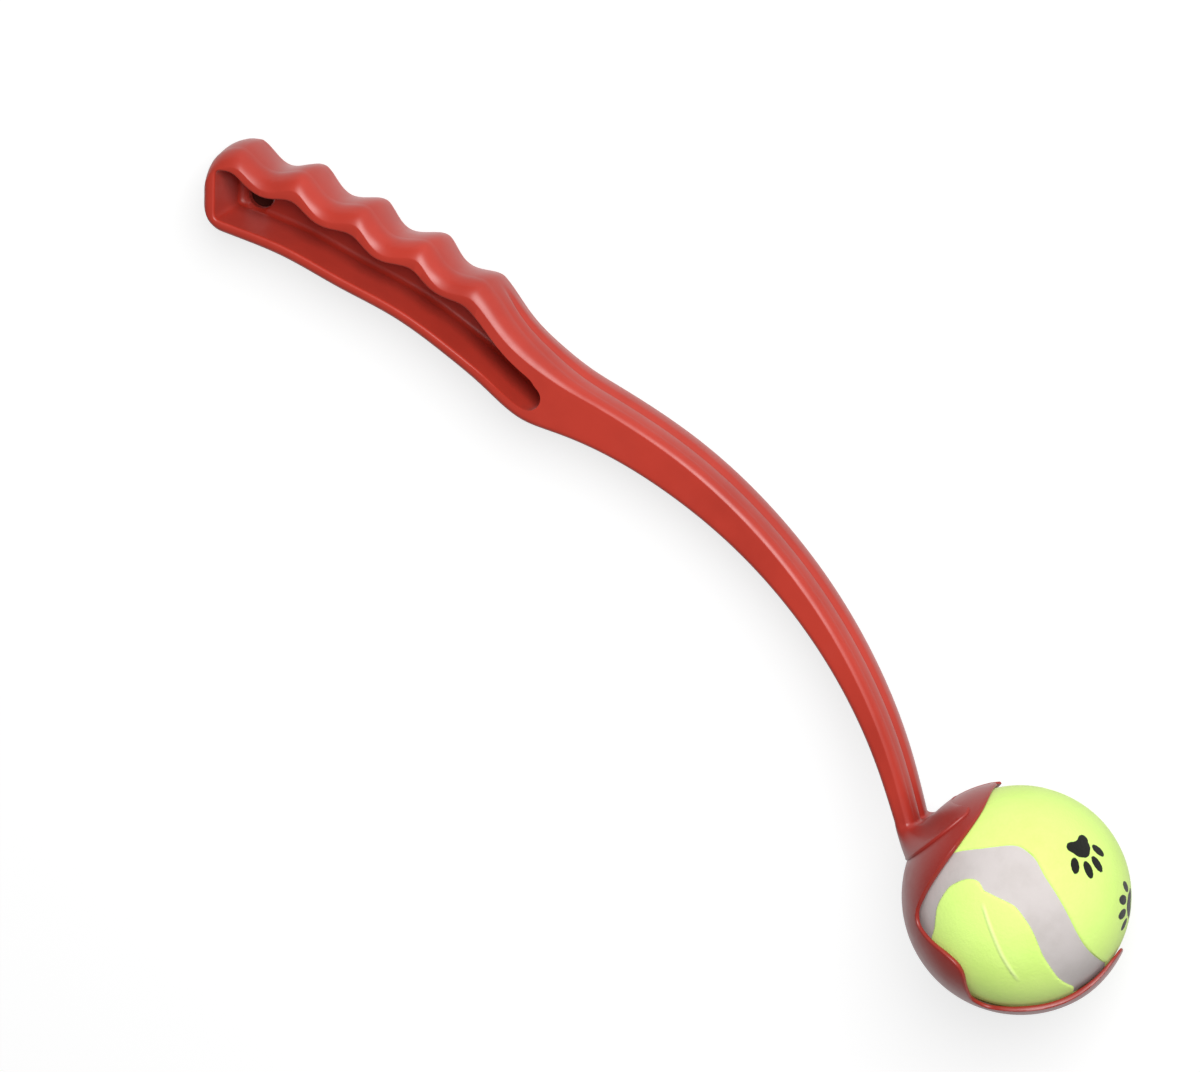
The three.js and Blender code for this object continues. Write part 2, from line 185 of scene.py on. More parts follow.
cup = {
    "innerRadius": 32.3, "outerRadius": 34.3, "rimRound": 0.45, "columns": 140, "rows": 44,
    # latitudes in radians: the gap grows below dipTop, and the wall thins above thinFrom
    "rimGap": 0.35, "dipGap": 0.8, "dipTop": -0.3, "dipRun": 0.4,
    "tipThinning": 0.8, "thinFrom": -0.1, "thinRun": 0.6,
    # the near half of the rim, from the arm round: turn as a share of a half turn, and height
    # above the ball's middle as a share of the radius
    "rim": [(0, 0.42), (0.065, 0.43), (0.13, 0.405), (0.18, 0.34), (0.22, 0.235), (0.252, 0.1),
            (0.275, -0.05), (0.291, -0.2), (0.303, -0.34), (0.315, -0.46), (0.332, -0.545),
            (0.36, -0.58), (0.395, -0.57), (0.45, -0.52), (0.5, -0.465), (0.54, -0.445),
            (0.575, -0.475), (0.615, -0.55), (0.66, -0.62), (0.708, -0.662), (0.745, -0.645),
            (0.772, -0.575), (0.795, -0.475), (0.82, -0.37), (0.85, -0.25), (0.88, -0.1),
            (0.908, 0.09), (0.937, 0.28), (0.967, 0.41), (1, 0.455)],
    # beyond the arm the first claw is narrower, and from this point on the rim is alike
    "alikeFrom": 11,
    "farRim": [(0, 0.42), (0.035, 0.405), (0.065, 0.36), (0.1, 0.26), (0.14, 0.12), (0.185, -0.03),
               (0.23, -0.18), (0.265, -0.33), (0.295, -0.46), (0.325, -0.55)],
}
arm = {
    "neckAngle": 29, "endSlope": -29.8, "startSlope": 27.4, "radius": 159.8, "spans": 6,
    "neckDepth": 5.9, "startDepth": 14.6, "taperPower": 1.35,
    "neckWidth": 15, "startWidth": 19, "edgeRound": 1.9,
    "creaseDepth": 0.95, "creaseShare": 0.36, "creaseRun": 0.9, "creaseBlur": 0.05,
    "creasePower": 1.2, "lobeRise": 0.35, "lobeMiddle": 0.55, "lobeHalf": 0.45,
    "topColumns": 43, "ringsPerSpan": 16,
}
waist = {
    "length": 46.6, "slope": 9.8,
    "upper": [(0.28, -0.07), (0.57, 0.15), (0.8, 0.52)],
    "lower": [(0.313, 0.194), (0.63, 0.387), (0.8, 0.663)],
}
handle = {
    "grips": 5, "pitch": 21, "hollowDepth": 4.4, "skewPower": 0.93, "scoopPower": 1.4,
    "crestSoftness": 0.15, "hollowSkew": 0.1, "nearShallowing": 0.2,
    "nearEdge": 0.6, "nearLean": 24,
    "endSlope": 17.7, "turn": 5.1, "depth": 24, "deepening": 0.4, "width": 21.5, "edgeRound": 2.4,
    "topRound": 4.4, "crown": 0.5, "buttSlant": 4.3, "buttReach": 11.3, "buttTopRound": 9.5,
    "buttLowRound": 6, "buttRings": 14, "ringsPerGrip": 30,
}
gusset = {
    "reach": 8.5, "footRadius": 19.5, "topFootRadius": 17.2, "lowAngle": -68, "topAngle": 39,
    "topSpread": 13.2, "topRise": 10.6, "middleRise": 2, "lowSpread": 7.3, "sink": 0.7,
    "run": 4.5, "rings": 20, "lip": 0.75, "lipRound": 0.7, "fadeFrom": 0.55, "fadeRun": 0.4,
    "skin": 0.4, "blur": 0.8,
}


def along(point, distance, slope):
    return np.asarray(point) + distance * np.array([math.cos(slope), math.sin(slope)])


def edgePair(middle, depth, slope):
    across = slope + math.pi / 2
    return along(middle, -depth / 2, across), along(middle, depth / 2, across)


def edgePairs():
    # lower and upper edge points from the butt to the cup
    start, end = math.radians(arm["startSlope"]), math.radians(arm["endSlope"])
    neckAngle = math.radians(arm["neckAngle"])
    neck = -cup["outerRadius"] * np.array([math.cos(neckAngle), math.sin(neckAngle)])
    middle = along(neck, -arm["radius"], end + math.pi / 2)
    armPairs = []
    for i in range(arm["spans"] + 1):
        share = i / arm["spans"]
        slope = between(start, end, share)
        depth = between(arm["neckDepth"], arm["startDepth"], (1 - share) ** arm["taperPower"])
        armPairs.append(edgePair(along(middle, arm["radius"], slope + math.pi / 2), depth, slope))
    armPairs[-1] = edgePair(along(neck, -gusset["reach"], end), arm["neckDepth"], end)
    # the crests turn steadily towards the butt, but those in the middle stand in one line
    crest = along(armPairs[0][1], -waist["length"], math.radians(waist["slope"]))
    grips = []
    middleSpan = handle["grips"] / 2 - 1
    for i in range(handle["grips"]):
        slope = math.radians(handle["endSlope"] + i * handle["turn"])
        depth = handle["depth"] + i * handle["deepening"]
        grips.insert(0, (along(crest, -depth, slope + math.pi / 2), crest))
        turns = middleSpan if abs(i - middleSpan) < 1 else i
        onwards = math.radians(handle["endSlope"] + turns * handle["turn"])
        crest = along(crest, -handle["pitch"], onwards)
    grips[0] = (along(grips[0][0], handle["buttSlant"], slope), grips[0][1])
    low, high = grips[-1]
    waistPairs = []
    for lower, upper in zip(waist["lower"], waist["upper"]):
        waistPairs.append((low + np.array(lower) * (armPairs[0][0] - low),
                           high + np.array(upper) * (armPairs[0][1] - high)))
    return grips + waistPairs + armPairs, neck, slope


pairs, neckPoint, buttSlope = edgePairs()
lowerEdge = SmoothLine([low for low, high in pairs])
upperEdge = SmoothLine([high for low, high in pairs])
gripSpans = handle["grips"] - 1
armStart = gripSpans + len(waist["upper"]) + 1
spanCount = len(pairs) - 1


def hollowShare(place):
    if place < 0 or place >= gripSpans:
        return 0
    phase = (place % 1) ** handle["skewPower"]
    power, soft = handle["scoopPower"] / 2, handle["crestSoftness"]
    wave = (math.sin(math.pi * phase) ** 2 + soft) ** power
    return (wave - soft**power) / ((1 + soft) ** power - soft**power)


def sectionAt(place):
    low, high = lowerEdge.at(place), upperEdge.at(place)
    up = (high - low) / np.linalg.norm(high - low)
    armShare = smoothStep((place - gripSpans) / (armStart - gripSpans))
    neckShare = min(max((place - armStart) / arm["spans"], 0), 1)
    barWidth = between(arm["startWidth"], arm["neckWidth"], neckShare)
    return {
        "place": place,
        "low": low,
        "high": high - up * handle["hollowDepth"] * hollowShare(place),
        "up": up,
        "halfWidth": between(handle["width"], barWidth, armShare) / 2,
        "lowRound": between(handle["edgeRound"], arm["edgeRound"], armShare),
        "topRound": between(handle["topRound"], arm["edgeRound"], armShare),
        "crease": smoothStep((place - gripSpans) / arm["creaseRun"]),
        "crown": handle["crown"] * (1 - armShare),
    }


def sectionOutline(section):
    # side and rise of each point, from the foot of the pocket side up and round
    depth = np.linalg.norm(section["high"] - section["low"])
    half = section["halfWidth"]
    low = min(section["lowRound"], depth / 3)
    top = min(section["topRound"], depth / 2.4)
    outline = []

    def corner(side, rise, radius, start, turn=90, count=8):
        for angle in np.radians(np.linspace(start, start + turn, count)):
            outline.append((side + radius * math.cos(angle), rise + radius * math.sin(angle)))

    def straight(start, end, count):
        for share in np.linspace(0, 1, count + 2)[1:-1]:
            outline.append(tuple(np.array(start) + share * (np.array(end) - np.array(start))))

    corner(half - low, low, low, -90)
    # the top meets the pocket side at a crisp edge
    edge, lean = handle["nearEdge"], math.radians(handle["nearLean"])
    edgeRise = depth - top - edge * math.sin(lean)
    straight((half, low), (half, edgeRise), 5)
    corner(half - edge, edgeRise, edge, 0, handle["nearLean"], 4)
    wide = top / (1 - math.sin(lean))
    nearFlat = half - edge * (1 - math.cos(lean)) - wide * math.cos(lean)
    corner(nearFlat, depth - wide, wide, handle["nearLean"] + 5, 85 - handle["nearLean"], 9)
    farFlat = half - top
    for share in np.linspace(1, -1, arm["topColumns"])[1:-1]:
        spot = abs(share)
        dip = max(1 - math.hypot(spot, arm["creaseBlur"]) / arm["creaseShare"], 0)
        dip = arm["creaseDepth"] * dip ** arm["creasePower"]
        lobe = arm["lobeRise"] * max(1 - ((spot - arm["lobeMiddle"]) / arm["lobeHalf"]) ** 2, 0)
        bulge = section["crown"] * (1 - share * share)
        side = (nearFlat - farFlat + share * (nearFlat + farFlat)) / 2
        outline.append((side, depth + section["crease"] * (lobe - dip) + bulge))
    corner(top - half, depth - top, top, 90)
    straight((-half, depth - top), (-half, low), 5)
    corner(low - half, low, low, 180)
    straight((low - half, 0), (half - low, 0), 9)
    return np.array(outline)


def placeOutline(section, outline):
    flat = section["low"] + outline[:, 1:] * section["up"]
    # towards the pocket the hollows are shallower and lie nearer to the butt
    depth = outline[:, 1].max()
    for i, (side, rise) in enumerate(outline):
        near = (1 + side / section["halfWidth"]) / 2
        askew = hollowShare(section["place"] + handle["hollowSkew"] * near)
        change = askew * (1 - handle["nearShallowing"] * near) - hollowShare(section["place"])
        flat[i] -= section["up"] * handle["hollowDepth"] * change * smoothStep(2 * rise / depth - 1)
    return np.column_stack([flat, outline[:, 0]])


def neckFoot(outline, section):
    # where each point of the neck's outline meets the cup
    depth = np.linalg.norm(section["high"] - section["low"])
    radius = cup["outerRadius"] - gusset["sink"]
    foot = []
    for side, rise in outline:
        x, y = side / section["halfWidth"], 2 * rise / depth - 1
        reach = max(abs(x), abs(y))
        x, y = x / reach, y / reach
        if abs(x) > 0.999:
            share = (y + 1) / 2
            angle = math.radians(between(gusset["lowAngle"], gusset["topAngle"], share))
            wide = between(gusset["footRadius"], gusset["topFootRadius"], share**3)
            spot = (wide * math.sin(angle), x * wide * math.cos(angle))
        elif y > 0:
            topRise = between(gusset["middleRise"], gusset["topRise"], abs(x) ** 2)
            spot = (topRise, gusset["topSpread"] * x)
        else:
            angle = math.radians(gusset["lowAngle"])
            spot = (gusset["footRadius"] * math.sin(angle), gusset["lowSpread"] * x)
        spot = np.array([-math.sqrt(max(radius**2 - spot[0] ** 2 - spot[1] ** 2, 0)), *spot])
        foot.append(spot * radius / np.linalg.norm(spot))
    return np.array(foot)


def buttSection(out):
    # a section of the butt, outwards of the first one
    section = sectionAt(0)
    outwards = np.array([-section["up"][1], section["up"][0]])
    straightOn = lowerEdge.at(0) - lowerEdge.at(0.05)
    straightOn /= np.linalg.norm(straightOn)
    low, high = section["low"] + straightOn * out, section["high"] + outwards * out
    return {**section, "place": -out / handle["pitch"], "low": low, "high": high,
            "up": (high - low) / np.linalg.norm(high - low)}


def cornerDraw(out, radius):
    # how far a corner of the butt has drawn in at a distance outwards
    past = min(max(out - (handle["buttReach"] - radius), 0), radius)
    return radius - math.sqrt(radius**2 - past**2)


def gussetRings(section):
    # the neck runs on and spreads over the cup
    outline = sectionOutline(section)
    start = placeOutline(section, outline)
    ahead = np.array([section["up"][1], -section["up"][0], 0])
    foot = neckFoot(outline, section)
    bend = start + ahead * gusset["run"]
    rise = outline[:, 1] / outline[:, 1].max()
    proud = 1 - smoothStep((rise - gusset["fadeFrom"]) / gusset["fadeRun"])
    middle = foot[proud > 0.5].mean(0)

    def footRing(outwards, height):
        # the foot grown outwards along the cup, at a height over it
        away = foot - middle
        ring = foot + away / np.linalg.norm(away, axis=1)[:, None] * outwards
        return ring * ((cup["outerRadius"] + height) / np.linalg.norm(ring, axis=1))[:, None]

    lip = footRing(-gusset["lipRound"], gusset["lip"] * proud)
    rings = []
    for share in np.linspace(0, 1, gusset["rings"])[1:]:
        ring = (1 - share) ** 2 * start + 2 * share * (1 - share) * bend + share**2 * lip
        # nowhere below the cup's skin
        over = np.linalg.norm(ring, axis=1) - cup["outerRadius"] - gusset["skin"] * (1 - share)
        pushed = (np.sqrt(over**2 + gusset["blur"] ** 2 * (1 - share)) - over) / 2
        rings.append(ring * (1 + pushed / np.linalg.norm(ring, axis=1))[:, None])
    for angle in np.radians([25, 50, 75, 90]):
        rings.append(footRing(gusset["lipRound"] * (math.sin(angle) - 1),
                              gusset["lip"] * proud - gusset["lipRound"] * (1 - math.cos(angle))))
    rings.append(footRing(0, -gusset["sink"]))
    radius = cup["outerRadius"] - gusset["sink"]
    for share in (0.8, 0.55, 0.3, 0.1):
        ring = middle + (foot - middle) * share
        rings.append(ring * radius / np.linalg.norm(ring, axis=1)[:, None])
    return rings


def makeBar():
    rings = []
    for i in range(handle["buttRings"], 0, -1):
        out = handle["buttReach"] * math.sin(i / handle["buttRings"] * math.pi / 2)
        section = buttSection(out)
        section["low"] = section["low"] + section["up"] * cornerDraw(out, handle["buttLowRound"])
        section["high"] = section["high"] - section["up"] * cornerDraw(out, handle["buttTopRound"])
        section["halfWidth"] -= cornerDraw(out, handle["edgeRound"])
        rings.append(placeOutline(section, sectionOutline(section)))
    gripPlaces = np.linspace(0, gripSpans, gripSpans * handle["ringsPerGrip"], endpoint=False)
    armPlaces = np.linspace(gripSpans, spanCount, (spanCount - gripSpans) * arm["ringsPerSpan"])
    for place in [*gripPlaces, *armPlaces]:
        section = sectionAt(place)
        rings.append(placeOutline(section, sectionOutline(section)))
    rings += gussetRings(sectionAt(spanCount))
    bar = tube("launcherBar", rings)
    print("bar of", len(rings), "sections")
    return bar


def rimLine():
    # the whole rim as turn and latitude, in radians
    near, far = np.array(cup["rim"]), np.array(cup["farRim"] + cup["rim"][cup["alikeFrom"]:])
    around = np.vstack([near, (far[1:-1] * [-1, 1] + [2, 0])[::-1]])
    count = len(around)
    line = SmoothLine(np.vstack([around - [2, 0], around, around + [2, 0]]))
    places = np.linspace(count, 2 * count, 2 * cup["columns"], endpoint=False)
    rim = np.array([line.at(place) for place in places])
    rim[:, 1] = np.arcsin(rim[:, 1])
    rim[:, 0] = math.pi * (1 - rim[:, 0])
    return rim


def makeCup():
    rim = rimLine()
    rings = []
    dips = smoothStep((cup["dipTop"] - rim[:, 1]) / cup["dipRun"])
    rimGap = between(cup["rimGap"], cup["dipGap"], dips)

    def latitudeAt(share):
        return -math.pi / 2 + (rim[:, 1] + math.pi / 2) * share

    def outerAt(share):
        # thinner towards the points of the claws
        blend = smoothStep((latitudeAt(share) - cup["thinFrom"]) / cup["thinRun"])
        return cup["outerRadius"] - cup["tipThinning"] * blend

    def ring(radius, share, lift=0):
        latitude = latitudeAt(share) + lift
        wall = radius * np.cos(latitude)
        rings.append(np.column_stack([wall * np.cos(rim[:, 0]), radius * np.sin(latitude),
                                      wall * np.sin(rim[:, 0])]))

    shares = np.linspace(0.03, 1, cup["rows"])
    for share in shares:
        ring(outerAt(share), share)
    edge = cup["rimRound"] / cup["outerRadius"]
    rimInner, rimOuter = cup["innerRadius"] + rimGap, outerAt(1)
    middle, halfThick = (rimOuter + rimInner) / 2, (rimOuter - rimInner) / 2
    for angle in np.radians([30, 60, 90, 120, 150]):
        ring(middle + halfThick * math.cos(angle), 1, edge * math.sin(angle))
    for share in shares[::-1]:
        ring(cup["innerRadius"] + rimGap * share**2, share)
    shell = tube("launcherCup", rings)
    print("cup with", len(rings), "rings")
    return shell


# Pocket and hang hole

pocket = {
    "wall": 3.6, "endWall": 4, "roof": 6.2, "roofSkew": 0.08, "crestWall": 1.8, "kneeWall": -0.9,
    "buttWall": -1.9, "buttFrom": 0.08, "buttRun": 0.24, "endShare": 0.79, "floor": 3, "draft": 0.3,
    "floorRound": 1.9, "mouthRound": 0.9, "mouthTurn": 72, "mouthLift": 0.02, "flare": 4,
    "overrun": 1, "cornerBlur": 1.1, "innerBlur": 1,
    "sections": 240, "capPoints": 24, "points": 420,
}
hangHole = {"diameter": 8, "inset": 2.9, "drop": 16.9, "edgeRound": 0.5, "overrun": 1, "sides": 64}


def pocketOutline():
    start = (pocket["endWall"] - handle["buttReach"]) / handle["pitch"]
    kneeSpans = len(waist["upper"]) * pocket["endShare"]
    lows, highs = [], []
    for place in np.linspace(start, gripSpans + kneeSpans, pocket["sections"]):
        section = buttSection(-place * handle["pitch"]) if place < 0 else sectionAt(place)
        kneeShare = smoothStep((place - gripSpans) / kneeSpans)
        hollow, askew = hollowShare(place), hollowShare(place + pocket["roofSkew"])
        roof = pocket["roof"] + handle["hollowDepth"] * (askew - hollow)
        roof += pocket["crestWall"] * (1 - askew) + pocket["kneeWall"] * kneeShare
        roof += pocket["buttWall"] * smoothStep((pocket["buttFrom"] - place) / pocket["buttRun"])
        lows.append(section["low"] + section["up"] * pocket["wall"])
        highs.append(section["high"] - section["up"] * roof)
    # the knee end is a half round
    radius = np.linalg.norm(highs[-1] - lows[-1]) / 2
    middle = (highs[-1] + lows[-1]) / 2
    up = (highs[-1] - lows[-1]) / (2 * radius)
    out = np.array([up[1], -up[0]])
    cap = [middle - out * radius + radius * (out * math.cos(a) + up * math.sin(a))
           for a in np.linspace(-math.pi / 2, math.pi / 2, pocket["capPoints"])]
    keep = [i for i, low in enumerate(lows) if (middle - low) @ out > radius]
    lows, highs = [lows[i] for i in keep], [highs[i] for i in keep]
    line = np.array(lows + cap + highs[::-1])
    line = np.vstack([line, line[:1]])
    run = np.concatenate([[0], np.cumsum(np.linalg.norm(np.diff(line, axis=0), axis=1))])
    even = np.linspace(0, run[-1], pocket["points"], endpoint=False)
    line = np.column_stack([np.interp(even, run, line[:, 0]), np.interp(even, run, line[:, 1])])
    return line, run[-1] / pocket["points"]


def pocketRing(line, step, offset):
    # the outline with its corners rounded, the more the further in it is drawn
    blur = pocket["cornerBlur"] + pocket["innerBlur"] * max(-offset, 0)
    reach = int(4 * blur / step)
    weights = np.exp(-0.5 * (np.arange(-reach, reach + 1) * step / blur) ** 2)
    weights /= weights.sum()
    line = sum(w * np.roll(line, k - reach, axis=0) for k, w in enumerate(weights))
    ahead = np.roll(line, -1, axis=0) - np.roll(line, 1, axis=0)
    ahead /= np.linalg.norm(ahead, axis=1)[:, None]
    return line + np.column_stack([ahead[:, 1], -ahead[:, 0]]) * offset


def makePocket():
    line, step = pocketOutline()
    half = handle["width"] / 2
    floor = pocket["floor"] - half
    levels = []
    for angle in np.radians(np.linspace(0, 90, 10)):
        radius = pocket["floorRound"]
        levels.append((floor + radius * (1 - math.cos(angle)),
                       -pocket["draft"] - radius * (1 - math.sin(angle))))
    radius, steepest = pocket["mouthRound"], math.radians(pocket["mouthTurn"])
    mouth = half - radius * math.sin(steepest) + pocket["mouthLift"]
    for angle in np.linspace(0, steepest, 7):
        levels.append((mouth + radius * math.sin(angle), radius * (1 - math.cos(angle))))
    widest = levels[-1][1] + 1 / math.tan(steepest) * pocket["flare"]
    levels.append((half + pocket["overrun"], widest))
    rings = []
    for z, offset in levels:
        flat = pocketRing(line, step, offset)
        rings.append(np.column_stack([flat, np.full(len(flat), z)]))
    return tube("pocketCut", rings, flatEnds=True)


def hangHoleSpot():
    spot = along(pairs[0][1], hangHole["inset"], buttSlope)
    return along(spot, -hangHole["drop"], buttSlope + math.pi / 2)


def makeHangHole():
    radius = hangHole["diameter"] / 2
    spot = hangHoleSpot()
    back = -handle["width"] / 2
    front = back + pocket["floor"]
    edge, over = hangHole["edgeRound"], hangHole["overrun"]
    levels = [(back - over, radius + edge + over), (back + edge, radius),
              (front - edge, radius), (front + over, radius + edge + over)]
    turns = np.linspace(0, 2 * math.pi, hangHole["sides"], endpoint=False)
    rings = [np.column_stack([spot[0] + r * np.cos(turns), spot[1] + r * np.sin(turns),
                              np.full(len(turns), z)]) for z, r in levels]
    return tube("hangHoleCut", rings)


launcher = makeBar()
cutOrJoin(launcher, makePocket(), "DIFFERENCE")
cutOrJoin(launcher, makeHangHole(), "DIFFERENCE")
cutOrJoin(launcher, makeCup(), "UNION")
launcher.name = launcher.data.name = "launcherMoulding"
shadeSmooth(launcher, 32)
print("launcher", len(launcher.data.polygons), "faces")


# Ball: two felt panels and the seam band between them, in millimetres

ball = {
    "radius": 32, "feltThickness": 2.4, "feltRound": 0.8, "turn": (-1.224, -0.9025, -1.387),
    "seamWidth": 11.5, "seamRecess": 0.45, "seamSwing": 48.7, "seamLean": 6.5, "seamSteps": 1400,
    "seamWaver": 0.7, "waves": (2, 3, 5, 7, 11, 16, 23), "seed": 4, "sag": 0.18, "tuck": 0.1,
    # turn along the seam in degrees, and how far the cut edge of each felt lies from the seam
    "edgeA": [(-15, 4.4), (-8, 3.2), (-2, 3), (4, 4.3), (11.5, 7.8), (19, 7.8), (25, 6), (33, 5.4),
              (44, 4.8), (50, 5), (56, 5.9), (63, 7), (72, 7.6)],
    "edgeB": [(-38, 7.6), (-31, 5.2), (-22, 4.1), (-12, 5), (0, 6.8), (9, 8.8), (17, 8.2),
              (23, 6.9), (26, 5.9), (36, 5.9), (46, 6.9), (57, 5.9), (67, 3.5)],
    "edgeEase": 12, "edgeBlur": 14, "subdivisions": 7, "snap": 0.0045, "bandColumns": 15,
}


def ballTurn():
    x, y, z = ball["turn"]
    turn = Matrix.Rotation(x, 3, "X") @ Matrix.Rotation(y, 3, "Y") @ Matrix.Rotation(z, 3, "Z")
    return np.array(turn)


seamTurns = np.linspace(0, 2 * math.pi, ball["seamSteps"], endpoint=False)


def seamLine():
    rise = math.radians(ball["seamSwing"]) * np.cos(2 * seamTurns)
    around = seamTurns + math.radians(ball["seamLean"]) * np.sin(4 * seamTurns)
    level = np.cos(rise)
    line = np.column_stack([level * np.cos(around), level * np.sin(around), np.sin(rise)])
    line = line @ ballTurn().T
    ahead = np.roll(line, -1, axis=0) - np.roll(line, 1, axis=0)
    across = np.cross(line, ahead)
    across /= np.linalg.norm(across, axis=1)[:, None]
    return line, across


def feltEdge(spots, seed):
    # half the band's width along the seam: wavering, as felt cut by hand, and set at a few spots
    luck = random.Random(seed)
    waver = np.zeros(len(seamTurns))
    for waves in ball["waves"]:
        height = luck.uniform(0.3, 1)
        waver += height * np.sin(waves * seamTurns + luck.uniform(0, 6.28)) / waves**0.4
    half = ball["seamWidth"] / 2 + waver * ball["seamWaver"] / np.abs(waver).max()
    turns, wanted = np.radians([turn for turn, _ in spots]), [width for _, width in spots]
    signed = (seamTurns + math.pi) % (2 * math.pi) - math.pi
    ease = math.radians(ball["edgeEase"])
    share = smoothStep((signed - turns[0]) / ease + 1) * smoothStep((turns[-1] - signed) / ease + 1)
    half = half + (np.interp(signed, turns, wanted) - half) * share
    reach = ball["edgeBlur"]
    weights = np.hanning(2 * reach + 1)
    weights /= weights.sum()
    return sum(w * np.roll(half, k - reach) for k, w in enumerate(weights)) / ball["radius"]


seamPoints, seamAcross = seamLine()
edgeA, edgeB = feltEdge(ball["edgeA"], ball["seed"]), feltEdge(ball["edgeB"], ball["seed"] + 1)


def sideOfSeam(directions):
    # distance from the band's edge, in radians, outwards on both sides, and the nearest place
    near = np.empty(len(directions), int)
    batch = 4000
    for start in range(0, len(directions), batch):
        part = directions[start:start + batch]
        near[start:start + batch] = np.argmax(part @ seamPoints.T, axis=1)
    nearest = seamPoints[near]
    angle = np.arccos(np.clip((directions * nearest).sum(1), -1, 1))
    side = np.sign((directions * seamAcross[near]).sum(1))
    return angle - np.where(side > 0, edgeA[near], edgeB[near]), side, near


def fineSphere():
    work = bmesh.new()
    bmesh.ops.create_icosphere(work, subdivisions=ball["subdivisions"], radius=1)
    points = np.array([v.co[:] for v in work.verts])
    faces = [[v.index for v in f.verts] for f in work.faces]
    work.free()
    return points / np.linalg.norm(points, axis=1)[:, None], faces


def cutShell(side):
    # the part of the ball's skin on one side of the band, cut along the band's edge
    field = np.where(sphereSide * side > 0, sphereField, -1)
    moved = spherePoints.copy()
    close = np.abs(field) < ball["snap"]
    moved[close] -= seamAcross[sphereNear[close]] * (field[close] * side)[:, None]
    moved /= np.linalg.norm(moved, axis=1)[:, None]
    field = np.where(close, 0, field)
    kept, index, cuts, shell = [], {}, {}, []

    def keep(i):
        if i not in index:
            index[i] = len(kept)
            kept.append(moved[i])
        return index[i]

    def cut(i, j):
        key = (min(i, j), max(i, j))
        if key not in cuts:
            share = field[i] / (field[i] - field[j])
            spot = moved[i] + share * (moved[j] - moved[i])
            cuts[key] = len(kept)
            kept.append(spot / np.linalg.norm(spot))
        return cuts[key]

    for face in sphereFaces:
        if not any(field[i] > 0 for i in face):
            continue
        ring = []
        for k, i in enumerate(face):
            j = face[(k + 1) % 3]
            if field[i] >= 0:
                ring.append(keep(i))
            if field[i] * field[j] < 0:
                ring.append(cut(i, j))
        if len(ring) > 2:
            shell.append(ring)
    return np.array(kept), shell


def makePanel(name, side):
    kept, shell = cutShell(side)
    edges = dict.fromkeys((i, ring[(k + 1) % len(ring)])
                          for ring in shell for k, i in enumerate(ring))
    rim = [(i, j) for i, j in edges if (j, i) not in edges]
    # the outer face rounds over to the cut edge
    distance = np.maximum(sideOfSeam(kept)[0], 0) * ball["radius"]
    depth = np.clip(ball["feltRound"] - distance, 0, None)
    outer = ball["radius"] - ball["feltRound"] + np.sqrt(ball["feltRound"] ** 2 - depth**2)
    outer[[i for edge in rim for i in edge]] = ball["radius"] - ball["feltRound"]
    inner = ball["radius"] - ball["feltThickness"]
    allPoints = np.vstack([kept * outer[:, None], kept * inner])
    below = len(kept)
    allFaces = shell + [[i + below for i in ring[::-1]] for ring in shell]
    allFaces += [[j, i, i + below, j + below] for i, j in rim]
    panel = makeObject(name, toGround(allPoints), allFaces)
    pointOutwards(panel)
    shadeSmooth(panel, 50)
    return panel


spherePoints, sphereFaces = fineSphere()
sphereField, sphereSide, sphereNear = sideOfSeam(spherePoints)
panelA, panelB = makePanel("feltPanelA", 1), makePanel("feltPanelB", -1)
print("felt panels", len(panelA.data.polygons), len(panelB.data.polygons), "faces")


def makeSeamBand():
    shares = np.linspace(-1, 1, ball["bandColumns"])
    top = ball["radius"] - ball["seamRecess"]
    low = ball["radius"] - ball["feltThickness"]
    rings = []
    for point, across, a, b in zip(seamPoints[::2], seamAcross[::2], edgeA[::2], edgeB[::2]):
        ring = []
        for share in shares:
            angle = share * ((a if share > 0 else b) + ball["tuck"] / ball["radius"])
            sag = ball["sag"] * (1 - abs(share) ** 3)
            ring.append((point * math.cos(angle) + across * math.sin(angle)) * (top - sag))
        for way in (ring[-1], ring[len(ring) // 2], ring[0]):
            ring.append(way * low / np.linalg.norm(way))
        rings.append(ring)
    points = np.array(rings).reshape(-1, 3)
    band = makeObject("seamBand", toGround(points), tubeFaces(len(rings), len(rings[0]), True))
    pointOutwards(band)
    shadeSmooth(band, 50)
    return band


seamBand = makeSeamBand()
print("seam band", len(seamBand.data.polygons), "faces")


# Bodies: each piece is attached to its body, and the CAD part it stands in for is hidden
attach(launcher, "launcher")
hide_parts("launcher")
for piece, node, slot in ((panelA, "felt_panel_a", "ball_felt"),
                          (panelB, "felt_panel_b", "ball_felt"),
                          (seamBand, "seam_band", "seam_rubber")):
    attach(piece, "ball")
    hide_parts(node)


# Camera: the photograph's angle, as if laid on the launcher's own plane
view = {"lean": 26, "roll": 37.2, "millimetresPerPixel": 0.2885, "ballPixel": (1020.5, 896),
        "frame": (1200, 1072), "lens": 300, "sensor": 36}


